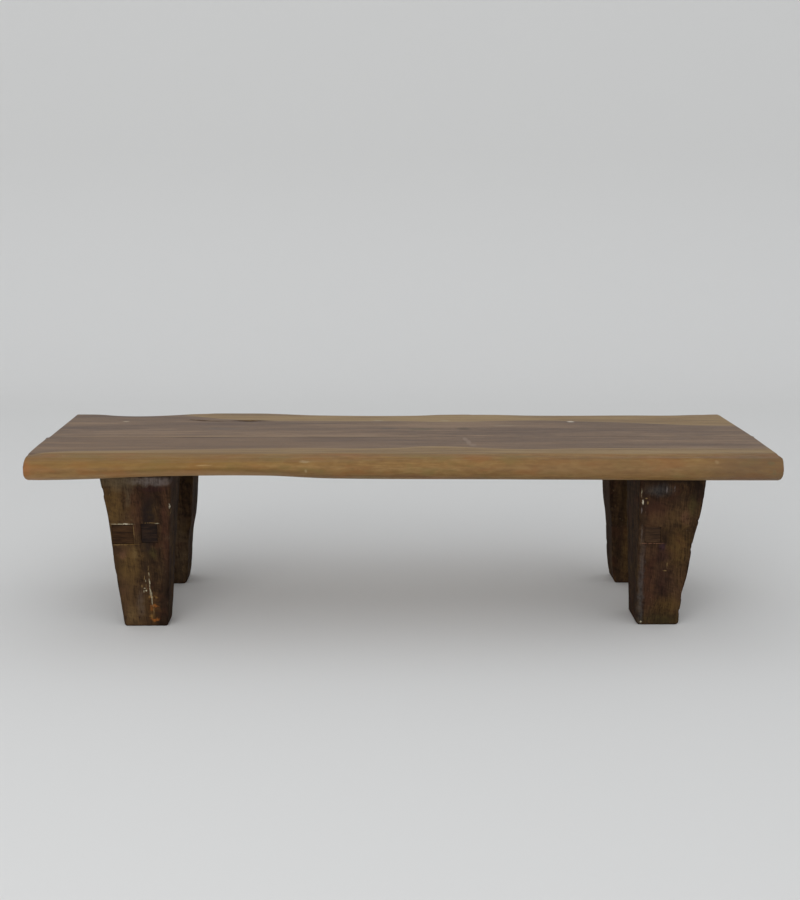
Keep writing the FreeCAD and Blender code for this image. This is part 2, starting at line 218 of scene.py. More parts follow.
class Finish:  # a material and its nodes
    def __init__(self, name):
        self.material = bpy.data.materials.new(name)
        self.material.use_nodes = True
        self.tree = self.material.node_tree
        self.shader = self.tree.nodes["Principled BSDF"]
        self.place = self.node("ShaderNodeTexCoord", out="Object")
        self.x, self.y, self.z = self.split(self.place)

    def node(self, kind, settings=None, inputs=None, out=0):
        made = self.tree.nodes.new(kind)
        for key, value in (settings or {}).items():
            if key == "stops":
                self.setStops(made.color_ramp, value)
            elif key == "points":
                self.setPoints(made.mapping, value)
            else:
                setattr(made, key, value)
        for key, value in (inputs or {}).items():
            self.feed(made.inputs[key], value)
        return Wire(self, made.outputs[out])

    def setStops(self, ramp, stops):
        while len(ramp.elements) < len(stops):
            ramp.elements.new(0.5)
        for element, (position, colour) in zip(ramp.elements, stops):
            element.position = position
            element.color = (*colour, 1)

    def setPoints(self, mapping, points):
        curve = mapping.curves[0]
        while len(curve.points) < len(points):
            curve.points.new(0.5, 0.5)
        for point, place in zip(curve.points, points):
            point.location = place
        mapping.update()

    def feed(self, socket, value):
        if isinstance(value, Wire):
            self.tree.links.new(value.socket, socket)
        elif socket.type == "RGBA":
            socket.default_value = (*value, 1)
        else:
            socket.default_value = value

    def maths(self, operation, *values):
        return self.node("ShaderNodeMath", {"operation": operation}, dict(enumerate(values)))

    def split(self, vector):
        parts = self.node("ShaderNodeSeparateXYZ", inputs={0: vector}).socket.node.outputs
        return [Wire(self, part) for part in parts]

    def vector(self, x, y, z):
        return self.node("ShaderNodeCombineXYZ", inputs={0: x, 1: y, 2: z})

    def vectorSum(self, operation, first, second=(0, 0, 0), out=0):
        return self.node("ShaderNodeVectorMath", {"operation": operation}, {0: first, 1: second}, out)

    def noise(self, vector, scale=1.0, detail=2.0, rough=0.5, out=0):
        inputs = {"Vector": vector, "Scale": scale, "Detail": detail, "Roughness": rough}
        return self.node("ShaderNodeTexNoise", inputs=inputs, out=out)

    def grain(self, x, y, z, detail=2.0, rough=0.5):  # noise that is stretched along the wood
        return self.noise(self.vector(x, y, z), detail=detail, rough=rough)

    def mark(self, name):  # a value that the mesh carries
        return self.node("ShaderNodeAttribute", {"attribute_name": name}, out="Fac")

    def step(self, low, high, value):  # 0 at low, 1 at high, smooth between
        inputs = {"Value": value, "From Min": low, "From Max": high}
        return self.node("ShaderNodeMapRange", {"interpolation_type": "SMOOTHSTEP"}, inputs)

    def ramp(self, value, stops):
        return self.node("ShaderNodeValToRGB", {"stops": stops}, {0: value})

    def mix(self, share, first, second, blend="MIX"):
        settings = {"data_type": "RGBA", "blend_type": blend}
        return self.node("ShaderNodeMix", settings, {0: share, 6: first, 7: second}, out=2)

    def darken(self, share, colour, by):  # multiplies a colour, where share is 1, by a grey
        return self.mix(share, colour, (by, by, by), "MULTIPLY")

    def stray(self, amount, scale):  # the place, moved about a little so that borders come out uneven
        swing = self.noise(self.place, scale, detail=4, rough=0.65, out="Color")
        swing = self.vectorSum("SUBTRACT", swing, (0.5, 0.5, 0.5))
        return self.vectorSum("ADD", self.place, self.vectorSum("MULTIPLY", swing, (amount,) * 3))

    def spot(self, where, centre, reach, soft=0.45):  # 1 inside an ellipsoid
        away = self.vectorSum("DIVIDE", self.vectorSum("SUBTRACT", where, centre), reach)
        distance = self.vectorSum("LENGTH", away, out="Value")
        return 1 - self.step(1 - soft, 1 + soft, distance)

    def paint(self, colour, marks, where, grit, soft=0.45):  # lays each mark over a colour
        for centre, reach, tint, strength in marks:
            colour = self.mix(self.spot(where, centre, reach, soft) * grit * strength, colour, shade(*tint))
        return colour

    def set(self, **values):
        for name, value in values.items():
            self.feed(self.shader.inputs[name.replace("_", " ")], value)

    def bump(self, height, depth, strength=1.0):
        inputs = {"Height": height, "Distance": depth, "Strength": strength}
        self.set(Normal=self.node("ShaderNodeBump", inputs=inputs))


def shade(red, green, blue):  # a colour as it looks on a screen, 0 to 255
    return tuple(((c / 255 + 0.055) / 1.055) ** 2.4 for c in (red, green, blue))


def evenRamp(*colours):  # stops at even distances
    return [(place / (len(colours) - 1), shade(*colour)) for place, colour in enumerate(colours)]


slabLook = {
    "heart": ((0.0, shade(93, 72, 57)), (0.35, shade(112, 90, 71)), (0.7, shade(121, 98, 78)),
              (1.0, shade(136, 112, 89))),
    "sapTop": evenRamp((118, 92, 59), (138, 111, 74), (153, 128, 90)),
    "sapEdge": evenRamp((114, 81, 43), (133, 100, 57), (149, 117, 72)),
    "edgePaintedLight": (  # what the sapwood of the natural edges is multiplied by, from its foot to the seat: painted light at the foot where the edge turns down, painted shade over its bulge, and less blue near the seat against the sky's sheen
        (0.38, (1.3, 1.3, 1.3)), (0.395, (1.08, 1.08, 1.08)), (0.407, (0.96, 0.96, 0.96)),
        (0.42, (0.96, 0.96, 0.95)), (0.433, (1.04, 1.02, 0.92)), (0.445, (1.0, 0.97, 0.87)),
    ),
    "lowPaintedLight": 1.3,  # painted light: paler still low down on the left, where the edge turns down
    "lowPaintedLightHeight": (0.419, 0.403),
    "lowPaintedLightAlong": (-0.2, -0.4),
    "brink": 0.86,  # dark line behind the front sapwood, at the left
    "brinkAcross": (0.0, -0.1),
    "brinkAlong": (-0.2, -0.5),
    "orange": shade(142, 92, 46),
    "olive": shade(120, 101, 56),
    "line": shade(158, 134, 98),  # pale line between heart and sap
    "glue": shade(52, 40, 32),
    "seam": shade(146, 122, 94),  # sapwood left beside the glue line
    # painted shade: near black inside the open cracks, where their far wall lies in shadow
    "split": shade(26, 18, 13),
    "markDepth": 0.02,  # how far down from the seat a mark reaches
    "endGrain": 0.66,
    "gloss": 0.5,
    "sheen": 0.26,
}
tree = {  # where each board's tree had its middle, and where its sapwood starts on the seat
    "front_board": {
        "middle": (-0.02, 0.34),
        "sapwood": [(-0.9, -0.235), (-0.83, -0.2), (-0.7, -0.188), (-0.46, -0.169), (-0.3, -0.161),
                    (-0.1, -0.162), (-0.01, -0.156), (0.05, -0.142), (0.12, -0.146), (0.2, -0.16),
                    (0.3, -0.169), (0.42, -0.163), (0.9, -0.164)],
        "seed": 2.3,
    },
    "rear_board": {
        "middle": (-0.06, 0.35),
        "sapwood": [(-0.9, 0.3), (-0.66, 0.27), (-0.6, 0.238), (-0.52, 0.2), (-0.46, 0.178), (-0.39, 0.163),
                    (-0.2, 0.158), (0.0, 0.157), (0.13, 0.15), (0.26, 0.159), (0.35, 0.165), (0.5, 0.153),
                    (0.64, 0.132), (0.76, 0.11), (0.9, 0.105)],
        "seed": 7.9,
    },
}
glueLine = {
    "middle": -0.037,
    "slope": 0.0111,  # it runs a little askew along the bench
    "pale": ((-0.89, -0.84), (0.1, -0.25), (0.55, 0.62)),  # where pale wood beside it starts, stops, starts
}
seatMarks = [  # place along and across, reach along and across, colour and strength
    (-0.062, 0.166, 0.013, 0.006, (160, 143, 115), 0.8), (0.117, 0.163, 0.015, 0.005, (160, 143, 115), 0.8),
    (0.458, 0.152, 0.009, 0.005, (226, 217, 200), 1.0), (-0.74, 0.152, 0.008, 0.006, (172, 156, 134), 0.9),
    (0.274, 0.102, 0.034, 0.005, (140, 124, 104), 0.7), (-0.035, 0.065, 0.022, 0.009, (84, 74, 66), 0.65),
    (0.05, 0.055, 0.032, 0.012, (92, 84, 62), 0.6), (-0.55, -0.12, 0.4, 0.1, (126, 98, 70), 0.3),
    (-0.47, 0.06, 0.05, 0.01, (92, 86, 80), 0.35), (0.161, 0.062, 0.017, 0.012, (80, 66, 52), 0.7),
    (0.157, -0.062, 0.006, 0.018, (144, 124, 106), 0.6), (0.163, -0.098, 0.006, 0.022, (144, 124, 106), 0.6),
    (0.172, -0.128, 0.009, 0.014, (144, 124, 106), 0.5), (-0.5, -0.046, 0.075, 0.004, (60, 46, 38), 0.75),
    (-0.1, -0.042, 0.16, 0.004, (70, 54, 44), 0.5), (-0.41, 0.161, 0.055, 0.011, (70, 44, 26), 0.95),
    (-0.55, 0.168, 0.03, 0.006, (70, 48, 32), 0.8), (-0.5, 0.158, 0.035, 0.006, (70, 48, 32), 0.8),
]
edgeMarks = [  # place, reach, colour and strength
    ((0.86, -0.27, 0.42), (0.13, 0.06, 0.05), (98, 76, 56), 0.55),
    ((0.5, -0.28, 0.425), (0.26, 0.05, 0.02), (118, 88, 60), 0.35),
    ((-0.58, -0.25, 0.433), (0.33, 0.06, 0.017), (130, 96, 38), 0.45),
    # painted light: the next row is a pale soft patch low on the front edge at the left, where the edge
    # turns down
    ((-0.5, -0.28, 0.402), (0.19, 0.06, 0.015), (176, 136, 92), 0.65),
    ((0.38, 0.27, 0.445), (0.1, 0.05, 0.03), (112, 96, 78), 0.5),
    ((-0.44, 0.27, 0.445), (0.1, 0.03, 0.03), (112, 92, 68), 0.4),
    ((-0.235, -0.28, 0.4375), (0.012, 0.03, 0.0015), (166, 142, 104), 0.6),
    ((-0.233, -0.29, 0.417), (0.003, 0.03, 0.005), (172, 150, 112), 0.55),
    ((-0.47, -0.28, 0.432), (0.017, 0.03, 0.0014), (168, 138, 90), 0.7),
    ((0.739, -0.28, 0.436), (0.005, 0.03, 0.004), (156, 130, 92), 0.4),
    ((0.0, -0.29, 0.402), (0.05, 0.03, 0.006), (106, 68, 38), 0.6),
    ((0.05, -0.29, 0.396), (0.04, 0.03, 0.005), (106, 68, 38), 0.6),
    ((0.16, -0.29, 0.395), (0.07, 0.03, 0.004), (98, 68, 40), 0.5),
    ((-0.762, -0.29, 0.388), (0.009, 0.03, 0.003), (60, 42, 28), 0.8),
    ((-0.892, -0.28, 0.43), (0.006, 0.02, 0.005), (66, 44, 28), 0.7),
    ((-0.888, -0.28, 0.42), (0.014, 0.04, 0.02), (146, 92, 46), 0.6),
    ((0.868, -0.27, 0.434), (0.008, 0.03, 0.004), (104, 92, 62), 0.6),
    ((0.876, -0.28, 0.412), (0.005, 0.03, 0.006), (110, 96, 64), 0.5),
]
boardCracks = {  # each a line of places on the seat, with half width and depth
    "front_board": [],
    "rear_board": [
        [(-0.574, 0.178, 0.001, 0.002), (-0.552, 0.169, 0.004, 0.008), (-0.531, 0.161, 0.005, 0.01),
         (-0.508, 0.159, 0.004, 0.008), (-0.47, 0.157, 0.001, 0.002)],
        [(-0.448, 0.1625, 0.001, 0.002), (-0.43, 0.162, 0.008, 0.016), (-0.414, 0.161, 0.011, 0.022),
         (-0.4, 0.1605, 0.008, 0.015), (-0.38, 0.16, 0.001, 0.002)],
    ],
}


def slabWood(name):  # solid wood: grain and growth rings run through the board
    finish = Finish(name + "Wood")
    step, mix, grain = finish.step, finish.mix, finish.grain
    grown = tree[name]
    seed = grown["seed"]
    x, y, z = finish.x, finish.y, finish.z
    middleY, middleZ = grown["middle"]
    across, up = y - middleY, z - middleZ
    bend = grain(x * 1.5 + seed, y * 2.5, z * 2.5) - 0.5
    ripple = grain(x * 6 + seed, y * 9, z * 9) - 0.5
    radius = (across * across + up * up) ** 0.5 + bend * 0.03 + ripple * 0.006
    around = finish.maths("ARCTAN2", up, across) * radius

    broad = grain(x * 2 + seed, radius * 36, around * 16, detail=3)
    streak = grain(x * 6 + seed, radius * 130, around * 75, detail=4, rough=0.6)
    fine = grain(x * 34 + seed, radius * 640, around * 420, detail=2)
    mottle = grain(x * 30 + seed, y * 50, z * 110, detail=4, rough=0.6)
    pore = grain(x * 70 + seed, radius * 2400, around * 900)
    tone = step(0.4, 0.6, broad * 0.42 + streak * 0.38 + fine * 0.2)

    edge = finish.mark("wane")
    reach = cadBox[1][0]
    along = x / (2 * reach) + 0.5
    seat = cadBox[1][2]
    points = []
    for px, py in grown["sapwood"]:
        points.append((px / (2 * reach) + 0.5, math.hypot(py - middleY, seat - middleZ) * 2))
    limit = finish.node("ShaderNodeFloatCurve", {"points": points}, {1: along}) * 0.5
    pastLimit = (across * across + up * up) ** 0.5 + ripple * 0.006 - limit
    sapwood = step(-0.001, 0.004, (pastLimit + (streak - 0.5) * 0.008) * (1 - edge * 0.85))
    rim = 1 - step(0.0, 0.006, abs(pastLimit - 0.005))

    edgeTone = step(0.32, 0.68, broad * 0.2 + streak * 0.32 + fine * 0.14 + mottle * 0.34)
    edgeColour = finish.ramp(edgeTone, slabLook["sapEdge"])
    sapColour = mix(edge, finish.ramp(tone, slabLook["sapTop"]), edgeColour)
    cast = grain(x * 10 + seed, y * 18, z * 30, detail=3)
    sapColour = mix(step(0.52, 0.64, cast) * edge * 0.4, sapColour, slabLook["orange"])
    sapColour = mix(step(0.48, 0.36, cast) * edge * 0.45, sapColour, slabLook["olive"])
    # painted light and shade on the sapwood of the natural edges, by height
    low, high = slabLook["edgePaintedLight"][0][0], slabLook["edgePaintedLight"][-1][0]
    stops = [((height - low) / (high - low), light) for height, light in slabLook["edgePaintedLight"]]
    light = finish.ramp((z - low) / (high - low), stops)
    sapColour = mix(edge, sapColour, light, "MULTIPLY")
    # painted light, paler low down on the left of the natural edge
    paintedLightMask = step(*slabLook["lowPaintedLightHeight"], z) * step(*slabLook["lowPaintedLightAlong"], x)
    sapColour = mix(paintedLightMask * edge, sapColour, (slabLook["lowPaintedLight"],) * 3, "MULTIPLY")
    colour = mix(sapwood, finish.ramp(tone, slabLook["heart"]), sapColour)
    colour = mix(rim * 0.35, colour, slabLook["line"])
    brink = step(-0.03, -0.014, pastLimit) * step(0.0, -0.005, pastLimit)
    brink *= step(*slabLook["brinkAcross"], y) * step(*slabLook["brinkAlong"], x)
    colour = finish.darken(brink, colour, slabLook["brink"])

    # the glue line, with a strip of pale wood left on its far side
    fromGlue = y - glueLine["middle"] - x * glueLine["slope"]
    begin, end, again = [step(*ends, x) for ends in glueLine["pale"]]
    stretch = begin * end + again
    seam = step(0.019, 0.012, fromGlue + (streak - 0.5) * 0.01)
    seam *= step(0.0005, 0.002, fromGlue)
    colour = mix(seam * stretch * step(0.3, 0.5, streak) * 0.35, colour, slabLook["seam"])
    colour = mix(step(0.0016, 0.0003, abs(fromGlue)) * 0.8, colour, slabLook["glue"])

    colour = finish.darken(step(0.6, 0.72, pore) * 0.6, colour, 0.62)
    knots = finish.stray(0.006, 60)
    deep = slabLook["markDepth"]
    marks = [((mx, my, seat), (rx, ry, deep), *rest) for mx, my, rx, ry, *rest in seatMarks]
    colour = finish.paint(colour, marks + edgeMarks, knots, step(0.25, 0.55, fine) * 0.5 + 0.5)
    # painted shade in the open cracks of the seat
    opened = finish.mark("crack")
    colour = mix(step(0.02, 0.4, opened), colour, slabLook["split"])

    sideways = finish.split(finish.node("ShaderNodeTexCoord", out="Normal"))[0]
    ended = step(0.7, 0.95, abs(sideways))
    rings = step(0.3, 0.7, grain(radius * 420, around * 3, seed))
    colour = finish.darken(ended, colour, slabLook["endGrain"])
    colour = finish.darken(ended * rings * 0.5, colour, 0.7)
    saw = grain(y * 260 + z * 90, z * 14, seed)

    rough = slabLook["gloss"] + (tone - 0.5) * 0.1 + ended * 0.25 + pore * 0.1
    finish.set(Base_Color=colour, Roughness=rough, Specular_IOR_Level=slabLook["sheen"])
    finish.bump(fine * 0.5 + (1 - step(0.6, 0.72, pore)) * 0.5 + ended * saw, 0.0006, 0.55)
    return finish.material


boards = {
    "front_board": {"outward": -1, "seed": 3, "across": 150, "along": 480, "crackLines": 0, "margin": 0.222},
    "rear_board": {"outward": 1, "seed": 8, "across": 155, "along": 500, "crackLines": 2.5, "margin": 0.25},
}
boardCut = {
    "arris": 0.004,  # rounding of the sawn ends
    "arrisSteps": 5,
    "sections": 240,
    "sectionInset": 0.016,  # the outermost sections are taken this far in from the ends
    "fineAlong": 4000,
    "endRun": 0.1,  # how far from an end its skew and rounding in plan die out
    "endPlaces": 30,
    "endDepth": 0.29,  # an end's line is looked for this far across
    "endSkew": 0.02,  # and this far in
    "capSteps": 12,  # rings that close each end
    "capInset": 0.028,  # how far in the line stops that they close on
    "gluedRows": 8,
    "jointCrowd": 4,  # how much closer the rows lie at the glue line
    "jointReach": 0.003,
    "undersideShare": 0.35,  # how much coarser the underside is divided
    "undersideFrom": 0.06,  # this far in from the natural edge
    "crackAlong": -0.48,  # where the rows crowd for the open cracks
    "crackAcross": 0.163,
    "crackBand": 0.011,
    "crackFade": (0.12, 0.09),
    "crackWander": 0.0016,
    "planing": 0.0003,  # depth of the waves left on the planed faces
    "marginWander": 0.006,
    "marginSoft": 0.007,
    "marginFall": 0.0012,  # how much the seat falls off where the natural edge begins
    "marginRun": 0.035,
    "waneDrop": 0.006,  # this far below the seat, and this far across, the surface is natural
    "waneAcross": (0.1, 0.16),
    "barkWaves": 0.0016,
    "barkRidges": 0.0009,
}


def endLine(edges, outward, side):  # the solid's end line in plan, from outside in
    ends = []
    for y in outward * np.linspace(0.0, boardCut["endDepth"], boardCut["endPlaces"]):
        if edges[:, :, 1].min() < y < edges[:, :, 1].max():
            farthest = (outlineAt(edges, 1, y)[:, 0] * side).max()
            if farthest > cadBox[1][0] - boardCut["endSkew"]:
                ends.append((y, farthest * side))
    return np.array(sorted(ends))


def boardPlaces(look):  # where the rings stand along a board, and how far the arris draws each one in
    reach = cadBox[1][0]
    arris = boardCut["arris"]
    turn = np.linspace(0, math.pi / 2, boardCut["arrisSteps"])[:-1]
    inset = arris * (1 - np.sin(turn))
    back = arris * (1 - np.cos(turn))
    fine = np.linspace(-reach + arris, reach - arris, boardCut["fineAlong"])
    nearCracks = ease(*boardCut["crackFade"], np.abs(fine - boardCut["crackAlong"]))
    worth = np.cumsum(1 + look["crackLines"] * nearCracks)
    inner = np.interp(np.linspace(worth[0], worth[-1], look["along"]), worth, fine)
    places = np.concatenate([-reach + back, inner, (reach - back)[::-1]])
    return places, np.concatenate([inset, np.zeros(len(inner)), inset[::-1]])


def orderRows(outline, look, bottom):  # a section's rows: the free faces first, then the glued one
    start = np.argmin(outline[:, 0] - outline[:, 1] * 0.5)
    stop = np.argmin(outline[:, 0] + outline[:, 1] * 0.5)
    outline = np.roll(outline, -start, axis=0)
    stop = (stop - start) % len(outline)
    if np.argmax(outline[:, 0]) > stop:
        outline = np.roll(outline[::-1], 1, axis=0)
        stop = len(outline) - stop
    free, glued = outline[: stop + 1], np.vstack([outline[stop:], outline[:1]])
    coarse = free[:, 0].max() - boardCut["undersideFrom"]

    def weigh(points):
        under = points[:, 1] < bottom + 0.0005
        worth = np.where(under & (points[:, 0] < coarse), boardCut["undersideShare"], 1.0)
        fromCracks = (points[:, 0] - boardCut["crackAcross"]) / boardCut["crackBand"]
        worth += look["crackLines"] * np.exp(-(fromCracks**2)) * ~under
        fromJoint = np.linalg.norm(points - free[0], axis=1) / boardCut["jointReach"]
        return worth + boardCut["jointCrowd"] * np.exp(-fromJoint)

    return np.vstack([walk(free, look["across"], weigh), walk(glued, boardCut["gluedRows"] + 2)[1:-1]])


def boardSections(edges, look, bottom, places):  # cut at even distances, then read off at the places
    safe = cadBox[1][0] - boardCut["sectionInset"]
    stations = np.linspace(-safe, safe, boardCut["sections"])
    shaped = []
    for x in stations:
        shaped.append(orderRows(outlineAt(edges, 0, x) * (look["outward"], 1), look, bottom))
    shaped = np.array(shaped)
    wanted = np.clip(places, -safe, safe)
    sections = np.empty((len(places), shaped.shape[1], 2))
    for row in range(shaped.shape[1]):
        for axis in range(2):
            sections[:, row, axis] = np.interp(wanted, stations, shaped[:, row, axis])
    return sections


def drawIn(sections, insets):  # the arris at each end draws a section in
    tangent = np.roll(sections, -1, axis=1) - np.roll(sections, 1, axis=1)
    tangent /= np.linalg.norm(tangent, axis=2, keepdims=True)
    inward = np.stack([tangent[:, :, 1], -tangent[:, :, 0]], axis=2)
    middle = sections.mean(axis=1, keepdims=True)
    if (inward * (middle - sections)).sum() < 0:
        inward = -inward
    return sections + inward * insets[:, None, None]


def boardRings(name, look):
    edges = readSolid(name)
    places, insets = boardPlaces(look)
    sections = drawIn(boardSections(edges, look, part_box(name)[0].z, places), insets)
    rings = np.empty((*sections.shape[:2], 3))
    rings[:, :, 0] = places[:, None]
    rings[:, :, 1] = sections[:, :, 0] * look["outward"]
    rings[:, :, 2] = sections[:, :, 1]
    reach = cadBox[1][0]
    for side in (-1, 1):
        line = endLine(edges, look["outward"], side)
        shift = np.interp(rings[:, :, 1], line[:, 0], line[:, 1]) - side * reach
        rings[:, :, 0] += shift * ease(reach - boardCut["endRun"], reach, places * side)[:, None]
    return rings


def boardRelief(name, look, rings, normals):  # how far in each point lies, and the marks for the material
    x, y, z = np.moveaxis(rings, 2, 0)
    seed = look["seed"]
    out = y * look["outward"]
    upward = ease(0.9, 0.99, normals[:, :, 2])
    margin = look["margin"] + boardCut["marginWander"] * softNoise(rings * (6, 0, 0), seed)
    belowSeat = ease(0, boardCut["waneDrop"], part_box(name)[1].z - z) * ease(*boardCut["waneAcross"], out)
    wane = np.maximum(belowSeat, ease(-boardCut["marginSoft"], boardCut["marginSoft"], out - margin))
    wane *= 1 - ease(0.9, 0.995, -normals[:, :, 2])  # none on the underside
    girth = girthOf(rings)
    waves = layeredNoise(np.stack([x * 7, girth * 22, z * 0 + seed], axis=2), seed)
    ridges = layeredNoise(np.stack([x * 22, girth * 210, z * 0 + seed], axis=2), seed + 5)
    planed = layeredNoise(rings * (9, 28, 20), seed + 9)
    depth = boardCut["planing"] * (0.5 + 0.5 * planed) * (1 - wane)
    depth += boardCut["marginFall"] * ease(margin, margin + boardCut["marginRun"], out) * upward
    depth += wane * boardCut["barkWaves"] * (0.5 + 0.5 * waves)
    depth += wane * boardCut["barkRidges"] * (0.5 + 0.5 * ridges)

    crack = np.zeros_like(x)
    opening = np.zeros_like(x)
    wander = layeredNoise(rings * (90, 150, 0), seed) * boardCut["crackWander"]
    for line in boardCracks[name]:
        for start, end in zip(np.array(line[:-1]), np.array(line[1:])):
            run = (end - start)[:2]
            share = np.clip(((x - start[0]) * run[0] + (y - start[1]) * run[1]) / (run @ run), 0, 1)
            away = np.hypot(x - start[0] - share * run[0], y + wander - start[1] - share * run[1])
            width = start[2] + (end[2] - start[2]) * share
            groove = ease(width, width * 0.3, away) * upward
            opening = np.maximum(opening, groove * (start[3] + (end[3] - start[3]) * share))
            crack = np.maximum(crack, groove)
    return depth + opening, {"wane": wane, "crack": crack}


def makeBoard(name, look):
    rings = boardRings(name, look)
    normals = ringNormals(rings)
    depth, marks = boardRelief(name, look, rings, normals)
    rings = rings - normals * depth[:, :, None]
    rings[:, :, 0] = np.clip(rings[:, :, 0], cadBox[0][0], cadBox[1][0])
    rings, marks = closeBothEnds(rings, marks, boardCut["capSteps"], boardCut["capInset"])
    piece = skinFromRings(name + "_wood", rings, marks)
    piece.data.materials.append(slabWood(name))
    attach(piece, "root")
    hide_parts(name)
    return piece


slabPieces = {name: makeBoard(name, look) for name, look in boards.items()}
for name, piece in slabPieces.items():
    print("board", name, len(piece.data.polygons), "faces")


legs = {
    "front_left_leg": {"seed": 21, "cracks": 7},
    "front_right_leg": {"seed": 37, "cracks": 7},
    "rear_left_leg": {"seed": 52, "cracks": 6},
    "rear_right_leg": {"seed": 68, "cracks": 6},
}
legCut = {
    "around": 280,
    "rows": 160,
    "hollows": 0.0012,  # broad dips left by hewing
    "strokes": 0.0005,  # short marks of the adze across the grain
    "ridges": 0.0007,  # weathered grain
    "chips": 0.0022,  # knocks along the arrises
    "arris": (0.72, 0.95),  # where an arris begins and is full, as a share of the way to the corner
    "crackFrom": 0.2,  # share of the girth, from the middle of the front
    "crackSpan": 0.6,
    "crackWidth": 0.0011,
    "crackDepth": 0.004,
    "crackWander": 0.005,
    "calm": 0.0004,  # what is left of all this beside a let-in block or a bracket
    "calmReach": 0.012,
    "calmTop": 0.004,
    "endInset": 0.0002,  # the outermost sections are taken this far in from foot and top
    "fineAround": 4000,
    "capSteps": 10,
    "capInset": 0.02,
    "pocketRoom": 0.0004,
    "pocketFront": 0.05,
    "sharp": 40,  # degrees between faces that aren't shaded smooth
}
inlays = {
    "front_left_leg_patch": {
        "leg": "front_left_leg", "seed": 5,
        "wood": evenRamp((34, 21, 13), (52, 35, 21), (74, 51, 31)),
    },
    "front_left_leg_small_patch": {
        "leg": "front_left_leg", "seed": 6,
        "wood": evenRamp((20, 15, 15), (34, 25, 21), (52, 37, 27)),
    },
    "front_right_leg_patch": {
        "leg": "front_right_leg", "seed": 7,
        "wood": evenRamp((38, 27, 20), (60, 43, 30), (84, 62, 43)),
    },
}

timberLook = {
    "wood": ((0.0, shade(26, 17, 13)), (0.3, shade(43, 30, 21)), (0.6, shade(57, 41, 27)),
             (1.0, shade(84, 63, 41))),
    "red": shade(66, 41, 29),
    "gold": shade(80, 60, 32),
    "crack": shade(12, 9, 8),
    "worn": shade(96, 76, 58),
    "fleck": shade(128, 112, 90),
    "gloss": 0.72,
    "sheen": 0.04,
    "markDepth": 0.03,  # how far back from the front face a stain reaches
}
tints = {
    "grey": (100, 86, 66), "lilac": (110, 100, 96), "plum": (56, 34, 34), "gold": (100, 76, 40),
    "brown": (84, 60, 42), "black": (22, 20, 24), "rust": (76, 48, 36), "chalk": (178, 168, 140),
    "tan": (92, 69, 45), "white": (206, 196, 172), "orange": (158, 92, 40), "ochre": (84, 58, 32),
    "amber": (150, 112, 62), "rose": (124, 86, 66), "olive": (66, 60, 34), "coal": (34, 26, 22),
    "slate": (78, 82, 84), "straw": (124, 100, 64), "violet": (56, 36, 52),
}
